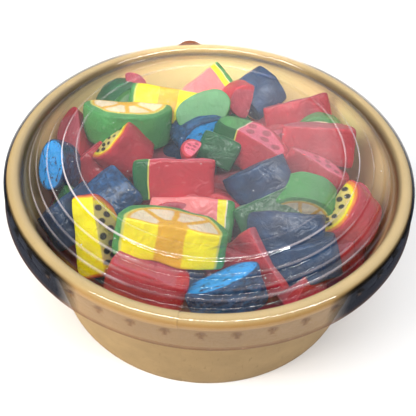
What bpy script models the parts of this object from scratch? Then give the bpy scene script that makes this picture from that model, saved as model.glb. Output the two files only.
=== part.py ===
"""A round brown paper bowl with a rolled rim, heaped with cut fruit candy
and shut with a clear low-domed lid.

Metres, Z up. The origin is on the bowl's axis, at the level its foot rests on.
"""
import math

import bmesh
import bpy
from mathutils import Vector

for ob in list(bpy.data.objects):
    bpy.data.objects.remove(ob)

MM = 0.001

# Bowl, in millimetres: a rolled rim 150 across over a foot 128 across.
FOOT_R = 64.0
FOOT_WALL = 1.5
RECESS_H = 6.0
PAPER = 0.6
FLOOR_TOP = RECESS_H + PAPER
ROLL_R = 72.4
ROLL_Z = 58.5
ROLL = 2.6
WALL_TOP_Z = 56.4
WALL_TOP_R = 70.1
ROLL_UNDER = 0.6
RECESS_SLANT = 0.3
SEGMENTS = 64

# The roll is drawn as steps round its own middle, from the wall over the top and back under.
ROLL_FROM = 195
ROLL_TO = -116
ROLL_STEP = -30

# Lid, in millimetres: the rings of its stepped dome, from the middle outwards.
LID_SHEET = 0.45
PLATEAU_Z = 65.2
RIDGE_Z = 66.0
RIDGE_IN_R = 49.3
RIDGE_OUT_R = 54.2
SHOULDER_Z = 64.9
SHOULDER_R = 59.6
STEP_Z = 63.4
STEP_R = 63.6
FALL_Z = 61.4
FALL_R = 66.4
GROOVE_Z = 58.9
GROOVE_R = 68.4
CREST_Z = 62.0
SKIRT_R = 75.9
SKIRT_EDGE_R = 77.2
SKIRT_EDGE_Z = 50.4
SKIRT_FLARE_H = 3.0
FALL_RUN = 1.2
FALL_LIP = 0.2
RIDGE_RUN = 1.0
GROOVE_NEAR = 0.5
GROOVE_FAR = 0.3
CREST_FROM = 140
CREST_TO = 14
CREST_STEP = -25
MITRE_LEAST = 0.1
MITRE_MOST = 1.6

# Pull tab on the skirt's lower edge.
TAB_AZIMUTH = 99.6
TAB_W = 17.0
TAB_RISE = 9.0
TAB_REACH = 2.9
TAB_T = 0.8
TAB_SIDES = 8
TAB_SINK = 0.55
TAB_LIFT = 0.2

# Candy: cut lengths of a moulded bar, half-moon or oval in section.
ARC_SIDES = 6
OVAL_SIDES = 10
CORE_GAP = 0.5
CORE_MID_Z = 44.0
CORE_SHOULDER_R = 40.0
CORE_EDGE_Z = 37.0


def material(name, colour, rough):
    made = bpy.data.materials.new(name)
    made.use_nodes = True
    shader = made.node_tree.nodes["Principled BSDF"]
    shader.inputs["Base Color"].default_value = (*colour, 1.0)
    shader.inputs["Roughness"].default_value = rough
    return made


def add(name, mesh, made):
    ob = bpy.data.objects.new(name, mesh)
    bpy.context.scene.collection.objects.link(ob)
    mesh.materials.append(made)
    return ob


def turned(name, section, made):
    """A solid of revolution from a closed section that starts and ends on the axis."""
    mesh = bpy.data.meshes.new(name)
    points = [(r * MM, 0.0, z * MM) for r, z in section]
    edges = [(i, i + 1) for i in range(len(points) - 1)]
    mesh.from_pydata(points, edges, [])
    ob = add(name, mesh, made)
    spin = ob.modifiers.new("spin", "SCREW")
    spin.steps = SEGMENTS
    spin.render_steps = SEGMENTS
    spin.use_merge_vertices = True
    spin.merge_threshold = 1e-5
    spin.use_normal_calculate = True
    return ob


def applied(ob):
    """The object with its modifiers made into its own mesh."""
    graph = bpy.context.evaluated_depsgraph_get()
    mesh = bpy.data.meshes.new_from_object(ob.evaluated_get(graph))
    ob.modifiers.clear()
    ob.data = mesh
    return ob


def inner_wall(z):
    """Radius of the bowl's inside at a height."""
    share = (z - RECESS_H) / (WALL_TOP_Z - RECESS_H)
    low = FOOT_R + (WALL_TOP_R - FOOT_R) * RECESS_H / WALL_TOP_Z
    return low + (WALL_TOP_R - low) * share - PAPER


def offset_line(line, by):
    """The line moved sideways by a distance, corners kept sharp."""
    moved = []
    for i, (r, z) in enumerate(line):
        before = Vector(line[max(i - 1, 0)])
        after = Vector(line[min(i + 1, len(line) - 1)])
        here = Vector((r, z))
        steps = [d.normalized() for d in (here - before, after - here) if d.length > 0]
        normals = [Vector((-d.y, d.x)) for d in steps]
        mean = sum(normals, Vector((0.0, 0.0))).normalized()
        stretch = min(1.0 / max(mean.dot(normals[0]), MITRE_LEAST), MITRE_MOST)
        moved.append(tuple(here - mean * by * stretch))
    return moved


def bowl():
    section = [(0.0, FLOOR_TOP), (inner_wall(FLOOR_TOP), FLOOR_TOP)]
    section.append((WALL_TOP_R - PAPER, WALL_TOP_Z))
    for degrees in range(ROLL_FROM, ROLL_TO, ROLL_STEP):
        turn = math.radians(degrees)
        section.append((ROLL_R + ROLL * math.cos(turn), ROLL_Z + ROLL * math.sin(turn)))
    section.append((WALL_TOP_R, WALL_TOP_Z - ROLL_UNDER))
    section.append((FOOT_R, 0.0))
    section.append((FOOT_R - FOOT_WALL, 0.0))
    section.append((FOOT_R - FOOT_WALL + RECESS_SLANT, RECESS_H))
    section.append((0.0, RECESS_H))
    kraft = material("kraft", (0.60, 0.39, 0.20), 0.8)
    return turned("bowl", section, kraft)


def lid_top():
    """The lid's upper surface, from the middle out and down the skirt."""
    line = [(0.0, PLATEAU_Z), (RIDGE_IN_R - RIDGE_RUN, PLATEAU_Z), (RIDGE_IN_R, RIDGE_Z)]
    rings = [(RIDGE_OUT_R, RIDGE_Z), (SHOULDER_R, SHOULDER_Z), (STEP_R, STEP_Z)]
    for (r, z), (_, next_z) in zip(rings, rings[1:] + [(FALL_R, FALL_Z)]):
        line += [(r, z), (r + FALL_RUN, next_z + FALL_LIP)]
    line.append((FALL_R, FALL_Z))
    line += [(GROOVE_R - GROOVE_NEAR, GROOVE_Z), (GROOVE_R + GROOVE_FAR, GROOVE_Z)]
    reach = CREST_Z - ROLL_Z
    for degrees in range(CREST_FROM, CREST_TO, CREST_STEP):
        turn = math.radians(degrees)
        line.append((ROLL_R + reach * math.cos(turn), ROLL_Z + reach * math.sin(turn)))
    line += [(SKIRT_R, ROLL_Z), (SKIRT_R, SKIRT_EDGE_Z + SKIRT_FLARE_H)]
    line.append((SKIRT_EDGE_R, SKIRT_EDGE_Z))
    return line


def tab():
    """A rounded ear that rises outwards from the skirt's lower edge."""
    made = bmesh.new()
    azimuth = math.radians(TAB_AZIMUTH)
    away = Vector((math.cos(azimuth), math.sin(azimuth), 0.0))
    along = Vector((-away.y, away.x, 0.0))
    rise = (away * TAB_REACH + Vector((0.0, 0.0, TAB_RISE))) * MM
    foot = Vector((0.0, 0.0, SKIRT_EDGE_Z + TAB_LIFT))
    root = (away * (SKIRT_EDGE_R - TAB_SINK) + foot) * MM
    thick = rise.cross(along).normalized() * TAB_T * MM
    outline = []
    for step in range(TAB_SIDES + 1):
        turn = math.pi * step / TAB_SIDES
        outline.append(root + along * (math.cos(turn) * TAB_W * MM / 2) + rise * math.sin(turn))
    near = [made.verts.new(p - thick / 2) for p in outline]
    far = [made.verts.new(p + thick / 2) for p in outline]
    made.faces.new(near)
    made.faces.new(list(reversed(far)))
    count = len(outline)
    for i in range(count):
        j = (i + 1) % count
        made.faces.new((near[j], near[i], far[i], far[j]))
    bmesh.ops.recalc_face_normals(made, faces=made.faces)
    mesh = bpy.data.meshes.new("tab")
    made.to_mesh(mesh)
    made.free()
    return mesh


def lid():
    top = lid_top()
    under = offset_line(top, LID_SHEET)
    under[0] = (0.0, PLATEAU_Z - LID_SHEET)
    section = top + list(reversed(under))
    clear = material("clear_lid", (0.93, 0.95, 0.95), 0.08)
    shell = turned("lid", section, clear)
    ear = add("tab", tab(), clear)
    join = shell.modifiers.new("tab", "BOOLEAN")
    join.operation = "UNION"
    join.solver = "EXACT"
    join.object = ear
    applied(shell)
    bpy.data.objects.remove(ear)
    return shell


def half_moon(wide, high):
    return [
        (wide / 2 * math.cos(math.pi * i / ARC_SIDES), high * math.sin(math.pi * i / ARC_SIDES))
        for i in range(ARC_SIDES + 1)
    ]


def oval(wide, high):
    turn = math.tau / OVAL_SIDES
    return [
        (wide / 2 * math.cos(turn * i), high / 2 * math.sin(turn * i))
        for i in range(OVAL_SIDES)
    ]


def lie(heading, pitch, roll):
    """The three directions of a piece: along its flat side, to its back, along the cut length."""
    h, p, r = (math.radians(v) for v in (heading, pitch, roll))
    along = Vector((math.cos(h) * math.cos(p), math.sin(h) * math.cos(p), math.sin(p)))
    side = Vector((-math.sin(h), math.cos(h), 0.0))
    up = along.cross(side)
    back = side * math.cos(r) + up * math.sin(r)
    return along, back, along.cross(back)


def candy(section, at, turned_by, length):
    """One cut length: at is the middle of its flat side, or of the oval."""
    along, back, cut = lie(*turned_by)
    made = bmesh.new()
    ends = []
    for half in (-length / 2, length / 2):
        place = [Vector(at) + along * u + back * v + cut * half for u, v in section]
        ends.append([made.verts.new(p * MM) for p in place])
    made.faces.new(list(reversed(ends[0])))
    made.faces.new(ends[1])
    count = len(section)
    for i in range(count):
        j = (i + 1) % count
        made.faces.new((ends[0][i], ends[0][j], ends[1][j], ends[1][i]))
    mesh = bpy.data.meshes.new("candy")
    made.to_mesh(mesh)
    made.free()
    return mesh


def outer_shell(ob):
    """Keep the largest closed surface, so that no hollow is left sealed inside."""
    made = bmesh.new()
    made.from_mesh(ob.data)
    left = set(made.faces)
    shells = []
    while left:
        front = [left.pop()]
        shell = []
        while front:
            face = front.pop()
            shell.append(face)
            for edge in face.edges:
                for other in edge.link_faces:
                    if other in left:
                        left.discard(other)
                        front.append(other)
        shells.append(shell)
    shells.sort(key=lambda shell: -sum(face.calc_area() for face in shell))
    extra = [face for shell in shells[1:] for face in shell]
    bmesh.ops.delete(made, geom=extra, context="FACES")
    made.to_mesh(ob.data)
    made.free()


# The pieces that show, each: middle, (heading, pitch, roll), (width, depth, cut length).
HALF_MOONS = [
    ((-12, -43, 56), (-5, -5, -30), (40, 19, 14)),
    ((-20, 34, 55), (-8, -5, -50), (35, 15, 15)),
    ((-36, 28, 51), (-175, 5, 15), (37, 17, 16)),
    ((36, -13, 46), (-10, 10, 95), (26, 14, 14)),
    ((-37, 13, 48), (-135, -26, 30), (23, 15, 15)),
    ((-41, -38, 52), (-75, -40, -57), (30, 16, 10)),
    ((50, -17, 47), (-125, -32, 40), (26, 13, 14)),
    ((46, 31, 44), (-12, 0, 70), (22, 11, 12)),
    ((-6, -25, 50), (-2, 0, -50), (32, 14, 15)),
    ((-3, 52, 53), (48, 12, -50), (25, 9, 12)),
    ((-13, -13, 57), (4, 0, -38), (31, 16, 15)),
    ((13, 11, 51), (-32, -8, -15), (34, 16, 15)),
    ((38, -4, 53), (-30, -12, -25), (25, 13, 14)),
    ((-6, 7, 52), (60, 20, 20), (9, 7, 9)),
    ((-39, 42, 44), (45, 30, 80), (26, 14, 13)),
    ((23, -22, 52), (25, 8, -55), (26, 15, 13)),
    ((2, 12, 51), (-25, -5, -50), (17, 12, 12)),
    ((-52, 19, 48), (103, 20, -25), (25, 11, 13)),
    ((-37, 45, 51), (-65, -20, 10), (17, 8, 10)),
    ((14, 44, 53), (80, 60, 35), (15, 11, 11)),
    ((37, 35, 53), (20, 6, -38), (31, 13, 13)),
    ((42, 13, 55), (-10, 5, -30), (30, 17, 15)),
    ((52, -13, 44), (-125, -35, 15), (25, 12, 13)),
    ((-20, -54, 45), (-14, -12, -15), (28, 16, 15)),
    ((17, -42, 46), (-50, -25, -25), (25, 13, 13)),
]
OVALS = [
    ((-58, -2, 50), (90, 40, -10), (21, 11, 16)),
    ((-36, -16, 50), (135, 10, 70), (20, 13, 16)),
    ((-5, 25, 49), (25, 10, 75), (25, 15, 15)),
    ((8, -52, 43), (22, 12, -25), (28, 12, 14)),
    ((-49, -24, 47), (-115, 10, 45), (27, 15, 15)),
    ((20, 53, 50), (-40, -30, 110), (21, 13, 17)),
    ((19, -7, 52), (15, 26, -45), (26, 15, 14)),
    ((28, -30, 51), (-5, 5, -50), (28, 14, 14)),
    ((34, -39, 46), (12, 12, -45), (28, 15, 15)),
    ((-4, 31, 54), (20, 15, 40), (25, 16, 11)),
]


def candy_heap():
    """The filling: a core with the pieces that show joined onto it."""
    gum = material("candy", (0.55, 0.09, 0.10), 0.35)
    low_z = FLOOR_TOP + CORE_GAP
    low_r = inner_wall(low_z) - CORE_GAP
    edge_r = inner_wall(CORE_EDGE_Z) - CORE_GAP
    section = [(0.0, CORE_MID_Z), (CORE_SHOULDER_R, CORE_MID_Z), (edge_r, CORE_EDGE_Z)]
    section += [(low_r, low_z), (0.0, low_z)]
    core = turned("candy_heap", section, gum)
    heap = bpy.data.collections.new("pieces")
    bpy.context.scene.collection.children.link(heap)
    for shape, rows in ((half_moon, HALF_MOONS), (oval, OVALS)):
        for at, turned_by, (wide, deep, length) in rows:
            mesh = candy(shape(wide, deep), at, turned_by, length)
            mesh.materials.append(gum)
            heap.objects.link(bpy.data.objects.new("piece", mesh))
    join = core.modifiers.new("heap", "BOOLEAN")
    join.operation = "UNION"
    join.solver = "EXACT"
    join.operand_type = "COLLECTION"
    join.collection = heap
    applied(core)
    for ob in list(heap.objects):
        bpy.data.objects.remove(ob)
    bpy.data.collections.remove(heap)
    outer_shell(core)
    return core


bowl()
lid()
candy_heap()
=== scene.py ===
# %% [markdown]
# # A shut paper bowl of fruit candy
#
# The real object is a brown paper bowl with a rolled rim, filled with cut lengths
# of soft fruit candy and shut with a thin clear lid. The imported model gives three
# plain solids: bowl, lid and heap. This lesson dresses each of them, without moving
# or resizing anything, so every number below is in the model's own frame.

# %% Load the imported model
import math
import random

import bpy
from mathutils import Matrix, Vector, noise


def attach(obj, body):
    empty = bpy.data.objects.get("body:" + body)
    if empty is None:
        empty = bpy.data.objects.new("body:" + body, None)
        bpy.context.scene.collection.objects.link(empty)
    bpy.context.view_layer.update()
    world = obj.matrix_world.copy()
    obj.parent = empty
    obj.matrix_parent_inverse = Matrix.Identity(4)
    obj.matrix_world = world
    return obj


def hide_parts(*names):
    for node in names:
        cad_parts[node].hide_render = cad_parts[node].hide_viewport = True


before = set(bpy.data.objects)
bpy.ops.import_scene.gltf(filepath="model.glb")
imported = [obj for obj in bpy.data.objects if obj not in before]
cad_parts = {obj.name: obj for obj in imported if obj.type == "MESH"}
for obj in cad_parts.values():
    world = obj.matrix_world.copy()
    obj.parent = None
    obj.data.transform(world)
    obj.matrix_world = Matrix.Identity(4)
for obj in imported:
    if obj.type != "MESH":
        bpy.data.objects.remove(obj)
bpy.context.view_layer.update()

MM = 0.001

# %% [markdown]
# ## The camera
#
# The camera was found by fitting the rings of the rim, foot and lid to their
# outlines in the photo. It looks down at about 48 degrees from quite close, with a
# slight roll, which is why the near side of the bowl looks so much larger.

# %% Camera
IMAGE_SIDE = 416
FOCAL_PIXELS = 558.3
SENSOR_MM = 36.0
LOOK_AT = Vector((0.0, 0.0, 0.0288))
CAMERA_DISTANCE = 0.2341
CAMERA_HEIGHT_ANGLE = math.radians(47.59)
CAMERA_ROLL = math.radians(3.24)

backwards = Vector((0.0, -math.cos(CAMERA_HEIGHT_ANGLE), math.sin(CAMERA_HEIGHT_ANGLE)))
sideways = Vector((1.0, 0.0, 0.0))
upwards = backwards.cross(sideways)
rolled_side = math.cos(CAMERA_ROLL) * sideways + math.sin(CAMERA_ROLL) * upwards
rolled_up = math.cos(CAMERA_ROLL) * upwards - math.sin(CAMERA_ROLL) * sideways
turn = Matrix((rolled_side, rolled_up, backwards)).transposed().to_4x4()
camera_data = bpy.data.cameras.new("photo_camera")
camera_data.sensor_fit = "HORIZONTAL"
camera_data.sensor_width = SENSOR_MM
camera_data.lens = FOCAL_PIXELS / IMAGE_SIDE * SENSOR_MM
camera_data.clip_start = 0.01
camera = bpy.data.objects.new("photo_camera", camera_data)
camera.matrix_world = Matrix.Translation(LOOK_AT + backwards * CAMERA_DISTANCE) @ turn
bpy.context.scene.collection.objects.link(camera)
bpy.context.scene.camera = camera
print("camera lens in mm:", round(camera_data.lens, 1))

# %% [markdown]
# ## Node helpers
#
# Materials are built by code, so small helpers save most of the typing: one puts a
# node in a tree and fills its sockets, and the others do a sum, mix two colours, or
# make a border, a ramp or a noise. Colours are screen values from 0 to 255, turned
# into linear light.

# %% Helpers for materials
def tone(red, green, blue):
    """Linear colour of a screen colour written from 0 to 255."""
    parts = [value / 255 for value in (red, green, blue)]
    linear = [c / 12.92 if c <= 0.04045 else ((c + 0.055) / 1.055) ** 2.4 for c in parts]
    return (*linear, 1.0)


def fill(tree, node, sockets):
    """Links or sets a node's sockets, by name or number."""
    for name, value in sockets.items():
        if isinstance(value, bpy.types.NodeSocket):
            tree.links.new(value, node.inputs[name])
        else:
            node.inputs[name].default_value = value
    return node


def put(tree, kind, sockets=None, **settings):
    """A new node, with its settings made and its sockets filled."""
    made = tree.nodes.new("ShaderNode" + kind)
    for name, value in settings.items():
        setattr(made, name, value)
    return fill(tree, made, sockets or {})


def calc(tree, operation, *values):
    return put(tree, "Math", dict(enumerate(values)), operation=operation).outputs[0]


def product(tree, first, *others):
    for other in others:
        first = calc(tree, "MULTIPLY", first, other)
    return first


def opposite(tree, share):
    """1 where the share is 0, and 0 where it is 1."""
    return calc(tree, "SUBTRACT", 1.0, share)


def ranged(tree, value, low, high, to_low=0.0, to_high=1.0, **settings):
    """The value's way from low to high, as a number between two others."""
    sockets = {"Value": value, "From Min": low, "From Max": high, "To Min": to_low, "To Max": to_high}
    return put(tree, "MapRange", sockets, **settings).outputs[0]


def stored(tree, name, output="Fac"):
    """What every point of the mesh remembers under a name."""
    return put(tree, "Attribute", attribute_name=name).outputs[output]


def noisy(tree, place, scale, detail, **more):
    sockets = {"Vector": place, "Scale": scale, "Detail": detail, **more}
    return put(tree, "TexNoise", sockets).outputs["Fac"]


def mixed(tree, share, first, second, blend_type="MIX"):
    """Two colours mixed by a share from 0 to 1."""
    sockets = {0: share, 6: first, 7: second}
    return put(tree, "Mix", sockets, data_type="RGBA", blend_type=blend_type).outputs[2]


def bands(tree, value, stops, soft=0.012):
    """A ramp of flat bands with slightly soft borders: stops are (start, colour)."""
    ramp = put(tree, "ValToRGB", {0: value})
    elements = ramp.color_ramp.elements
    elements.remove(elements[1])
    elements[0].position, elements[0].color = 0.0, stops[0][1]
    for (start, colour), (_, before) in zip(stops[1:], stops):
        elements.new(max(start - soft, 0.0)).color = before
        elements.new(min(start + soft, 1.0)).color = colour
    return ramp.outputs[0]


def edge(tree, value, start, soft=0.012):
    """0 below the start, 1 above it, with a slightly soft border."""
    return ranged(tree, value, start - soft, start + soft)


def new_material(name):
    made = bpy.data.materials.new(name)
    made.use_nodes = True
    return made, made.node_tree, made.node_tree.nodes["Principled BSDF"]


def group_place(tree, group, **inputs):
    """The outputs of a group that is placed in a tree."""
    sockets = {name.replace("_", " "): value for name, value in inputs.items()}
    return put(tree, "Group", sockets, node_tree=group).outputs


def new_group(name, inputs, outputs):
    """An empty shader group, what it takes, and the node that its results go into."""
    group = bpy.data.node_groups.new(name, "ShaderNodeTree")
    for label, kind, value in inputs:
        made = group.interface.new_socket(label, in_out="INPUT", socket_type="NodeSocket" + kind)
        if value is not None:
            made.default_value = value
    for label, kind in outputs:
        group.interface.new_socket(label, in_out="OUTPUT", socket_type="NodeSocket" + kind)
    return group, group.nodes.new("NodeGroupInput").outputs, group.nodes.new("NodeGroupOutput")


print("helpers ready; mid grey in linear light:", round(tone(128, 128, 128)[0], 3))

# %% [markdown]
# ## Turned shapes
#
# Bowl and lid are both made on round tools, so both are a profile turned round the
# axis. Turning by hand, and not with a Screw modifier, lets a function move each point
# as it goes round, which gives the paper seam and the lid's pressed lugs. Each point
# also keeps where it lies on the unrolled sheet, so that grain can follow the paper.

# %% Helpers that make meshes and turn a profile
def placed(name, data):
    """An object with this data, in the scene."""
    made = bpy.data.objects.new(name, data)
    bpy.context.scene.collection.objects.link(made)
    return made


def meshed(name, points, faces):
    """A mesh from points in metres and faces, smoothly shaded."""
    mesh = bpy.data.meshes.new(name)
    mesh.from_pydata(points, [], faces)
    mesh.polygons.foreach_set("use_smooth", [True] * len(mesh.polygons))
    return mesh


def band(low, high, count):
    """Faces between two rings of points, given by the number of each ring's first point."""
    pairs = [(step, (step + 1) % count) for step in range(count)]
    return [(low + here, low + there, high + there, high + here) for here, there in pairs]


def remember(mesh, name, values, kind="FLOAT"):
    """Stores a number, or the three numbers of a vector, for every point."""
    field = "vector" if kind == "FLOAT_VECTOR" else "value"
    mesh.attributes.new(name, kind, "POINT").data.foreach_set(field, values)


def eased(line, reach, steps=3):
    """The line with each corner replaced by a short curve."""
    points = [Vector(p) for p in line]
    made = [points[0]]
    for before, here, after in zip(points, points[1:], points[2:]):
        back, on = before - here, after - here
        start = here + back.normalized() * min(reach, back.length * 0.45)
        end = here + on.normalized() * min(reach, on.length * 0.45)
        for step in range(steps + 1):
            t = step / steps
            made.append(start * (1 - t) ** 2 + here * 2 * t * (1 - t) + end * t ** 2)
    return made + [points[-1]]


SHEET_R = 70.0


def turned(name, profile, azimuths, change=None):
    """Spins (radius, height, tag) rows in mm about Z; rows on the axis become one point."""
    points, unrolled, columns = [], [], []
    for spin, azimuth in enumerate(azimuths):
        column, along = [], 0.0
        for row, (radius, height, tag) in enumerate(profile):
            if row:
                along += math.dist(profile[row][:2], profile[row - 1][:2])
            if radius < 1e-6 and spin:
                column.append(columns[0][row])
                continue
            r, z = change(radius, height, tag, azimuth) if change else (radius, height)
            column.append(len(points))
            points.append((r * math.cos(azimuth) * MM, r * math.sin(azimuth) * MM, z * MM))
            unrolled += [azimuth * SHEET_R * MM, along * MM, 0.0]
        columns.append(column)
    faces = []
    for here, there in zip(columns, columns[1:] + columns[:1]):
        for low, high in zip(range(len(profile) - 1), range(1, len(profile))):
            corners = [here[low], there[low], there[high], here[high]]
            kept = list(dict.fromkeys(corners))
            if len(kept) > 2:
                faces.append(kept)
    mesh = meshed(name, points, faces)
    remember(mesh, "unrolled", unrolled, "FLOAT_VECTOR")
    return placed(name, mesh)


print("an eased right angle has", len(eased([(0, 0), (4, 0), (4, 4)], 1.0)), "points")

# %% [markdown]
# ## The paper bowl
#
# The real bowl is a cone of brown board, lapped and glued at one seam, with a disc
# for its floor and a rim curled outwards. The seam is a step of one board's
# thickness, and on the curl it shows as a crack. A turned profile with a small
# radial step at the seam gives both, and keeps the wall as thin as it is.

# %% Bowl sizes and shape
FOOT_R, FOOT_WALL = 64.0, 1.5
RECESS_H, PAPER = 6.0, 0.6
FLOOR_TOP = RECESS_H + PAPER
ROLL_R, ROLL_Z, ROLL = 72.4, 58.5, 2.6
WALL_TOP_Z, WALL_TOP_R = 56.4, 70.1
SEAM = math.radians(-95.5)
LAP = math.radians(6.0)
LAP_STEP = 0.28
RIM_LINING = 0.35


def inner_wall(z):
    """Radius of the bowl's inside at a height, in mm."""
    share = (z - RECESS_H) / (WALL_TOP_Z - RECESS_H)
    low = FOOT_R + (WALL_TOP_R - FOOT_R) * RECESS_H / WALL_TOP_Z
    return low + (WALL_TOP_R - low) * share - PAPER


def bowl_profile():
    rows = [(0.0, FLOOR_TOP, "in")]
    rows += [(r, FLOOR_TOP, "in") for r in (20.0, 40.0, 55.0, inner_wall(FLOOR_TOP) - 1.2)]
    rows.append((inner_wall(FLOOR_TOP) - 0.3, FLOOR_TOP + 0.3, "in"))
    levels = 14
    for step in range(levels + 1):
        z = FLOOR_TOP + 1.2 + (WALL_TOP_Z - FLOOR_TOP - 1.2) * step / levels
        rows.append((inner_wall(z), z, "in"))
    for degrees in range(200, -121, -10):
        bend = math.radians(degrees)
        rows.append((ROLL_R + ROLL * math.cos(bend), ROLL_Z + ROLL * math.sin(bend), "roll"))
    for step in range(levels + 1):
        z = (WALL_TOP_Z - 0.9) * (1 - step / levels) + 0.4 * step / levels
        rows.append((FOOT_R + (WALL_TOP_R - FOOT_R) * z / WALL_TOP_Z, z, "wall"))
    rows += [(FOOT_R - 0.3, 0.0, "foot"), (FOOT_R - FOOT_WALL + 0.2, 0.0, "foot")]
    rows += [(FOOT_R - FOOT_WALL, 0.4, "foot"), (FOOT_R - FOOT_WALL + 0.25, RECESS_H - 0.4, "foot")]
    rows += [(FOOT_R - FOOT_WALL - 0.2, RECESS_H, "under"), (30.0, RECESS_H, "under")]
    rows.append((0.0, RECESS_H, "under"))
    return rows


def paper_seam(r, z, tag, azimuth):
    """The lapped seam, the crack in the curl and the curl's slight unevenness."""
    past = (azimuth - SEAM) % math.tau
    before = math.tau - past
    lap = max(0.0, 1.0 - before / LAP)
    if tag == "wall":
        r -= LAP_STEP * 0.35 * (1.0 - min(1.0, past / LAP))
        r -= LAP_STEP * 0.4 * lap * min(1.0, z / 6.0)
    if tag == "roll":
        swell = 1.0 + 0.035 * (math.exp(-before / (2 * LAP)) if past > 0.001 else 0.0)
        swell -= 0.05 * math.exp(-past / (0.05 * LAP)) + 0.04 * math.exp(-past / (1.5 * LAP))
        wander = noise.noise(Vector((math.cos(azimuth) * 5, math.sin(azimuth) * 5, 0.0)))
        swell = min(swell + 0.012 * wander, 1.03)
        r = ROLL_R + (r - ROLL_R) * swell
        z = ROLL_Z + (z - ROLL_Z) * min(swell, 1.0)
    return r, z


ROUND_STEPS = 252
near_seam = [0.0006, 0.0025, 0.006, 0.012]
past_seam = near_seam + [math.tau * step / ROUND_STEPS for step in range(1, ROUND_STEPS)]
past_seam += [math.tau - value for value in reversed(near_seam[:3])]
bowl_azimuths = [SEAM + value for value in sorted(past_seam)]
bowl = turned("kraft_bowl", bowl_profile(), bowl_azimuths, paper_seam)


def lining(point):
    """How much of the pale inner face a point of the bowl shows: all inside, some on the rim; that paleness
    is partly painted light.
    """
    if point.z > WALL_TOP_Z * MM:
        return RIM_LINING
    within = point.to_2d().length < (inner_wall(point.z / MM) + 0.2) * MM
    return 1.0 if within and point.z > FLOOR_TOP * MM * 0.99 else 0.0


remember(bowl.data, "lined_and_lit", [lining(v.co) for v in bowl.data.vertices])
print("bowl faces:", len(bowl.data.polygons), "rim across in mm:", round(bowl.dimensions.x / MM, 1))

# %% [markdown]
# ## Brown paper
#
# Uncoated board is mottled at about the size of a fingertip, and close up it shows
# short fibres lying every way. Three stretched noises at different slants make the
# fibres, and a large soft noise makes the mottling. They sit in a group, because the
# height for the bump and the colour both come from the same fibres. The inner face is
# paler and smoother, and some of that shows on the rim, where the board is curled. Its
# pale colour is also painted light: it is lightened to stand in for light on the
# inside of the back wall.

# %% Paper group and material
paper, taken, results = new_group(
    "paper_fibres",
    [("Place", "Vector", None), ("Fibre Size", "Float", 0.0012)],
    [("Mottle", "Float"), ("Fibres", "Float")],
)
fine = calc(paper, "DIVIDE", 1.0, taken["Fibre Size"])
heights = []
for slant, stretch in ((0.5, 0.22), (-0.9, 0.3), (1.6, 0.25)):
    sockets = {"Vector": taken["Place"], "Rotation": (0.0, 0.0, slant), "Scale": (1.0, stretch, 1.0)}
    laid = put(paper, "Mapping", sockets).outputs[0]
    heights.append(noisy(paper, laid, fine, 2.0, Roughness=0.6))
total = calc(paper, "ADD", calc(paper, "ADD", heights[0], heights[1]), heights[2])
fill(paper, results, {
    "Fibres": calc(paper, "DIVIDE", total, 3.0),
    "Mottle": noisy(paper, taken["Place"], 85.0, 4.0, Roughness=0.62),
})

kraft, tree, shader = new_material("kraft_paper")
lined_and_lit = stored(tree, "lined_and_lit")
grain = group_place(tree, paper, Place=stored(tree, "unrolled", "Vector"))
base = mixed(tree, grain["Mottle"], tone(146, 119, 77), tone(182, 150, 101))
base = mixed(tree, edge(tree, grain["Fibres"], 0.37, 0.07), tone(138, 110, 70), base)
# The inner face's colour is partly its own paler board and partly painted light for the inside of the back
# wall.
base = mixed(tree, product(tree, lined_and_lit, 0.95), base, tone(255, 228, 164))
rough = calc(tree, "SUBTRACT", 0.78, product(tree, lined_and_lit, 0.35))
relief = put(tree, "Bump", {"Strength": 0.35, "Distance": 0.00012, "Height": grain["Fibres"]})
fill(tree, shader, {"Base Color": base, "Roughness": rough, "Normal": relief.outputs[0]})
bowl.data.materials.append(kraft)
print("paper group sockets:", [item.name for item in paper.interface.items_tree])

# %% [markdown]
# ## The clear lid
#
# The real lid is pressed from one thin clear sheet. Its low dome falls in small
# steps with narrow rounded edges, which catch the light as bright rings. The skirt
# grips the paper curl, with a row of small lugs pressed inwards under it. A turned
# profile with eased corners gives the rings, and a function presses in each lug.

# %% Lid sizes and shape
LID_SHEET = 0.45
PLATEAU_Z, RIDGE_Z, SHOULDER_Z, STEP_Z, FALL_Z = 65.2, 66.0, 64.9, 63.4, 61.4
RIDGE_IN_R, RIDGE_OUT_R, SHOULDER_R, STEP_R, FALL_R = 49.3, 54.2, 59.6, 63.6, 66.4
GROOVE_Z, GROOVE_R, CREST_Z = 58.9, 68.4, 62.0
SKIRT_R, SKIRT_EDGE_R, SKIRT_EDGE_Z, FLARE_H = 75.9, 77.2, 50.4, 3.0
FALL_RUN, FALL_LIP = 1.2, 0.2
LUGS, LUG_DEPTH, LUG_HALF_W = 44, 1.0, 1.9
LUG_TOP_Z, LUG_LOW_Z = 57.1, 53.4


def lid_line():
    """The lid's upper surface from the middle out and down the skirt, as (radius, height)."""
    line = [(0.0, PLATEAU_Z), (RIDGE_IN_R - 1.0, PLATEAU_Z), (RIDGE_IN_R, RIDGE_Z)]
    rings = [(RIDGE_OUT_R, RIDGE_Z), (SHOULDER_R, SHOULDER_Z), (STEP_R, STEP_Z)]
    for (r, z), (_, next_z) in zip(rings, rings[1:] + [(FALL_R, FALL_Z)]):
        line += [(r, z), (r + FALL_RUN, next_z + FALL_LIP)]
    line += [(FALL_R, FALL_Z), (GROOVE_R - 0.5, GROOVE_Z), (GROOVE_R + 0.3, GROOVE_Z)]
    reach = CREST_Z - ROLL_Z
    for degrees in range(145, 5, -20):
        bend = math.radians(degrees)
        line.append((ROLL_R + reach * math.cos(bend), ROLL_Z + reach * math.sin(bend)))
    return line + [(SKIRT_R, ROLL_Z), (SKIRT_R, SKIRT_EDGE_Z + FLARE_H), (SKIRT_EDGE_R, SKIRT_EDGE_Z)]


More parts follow.
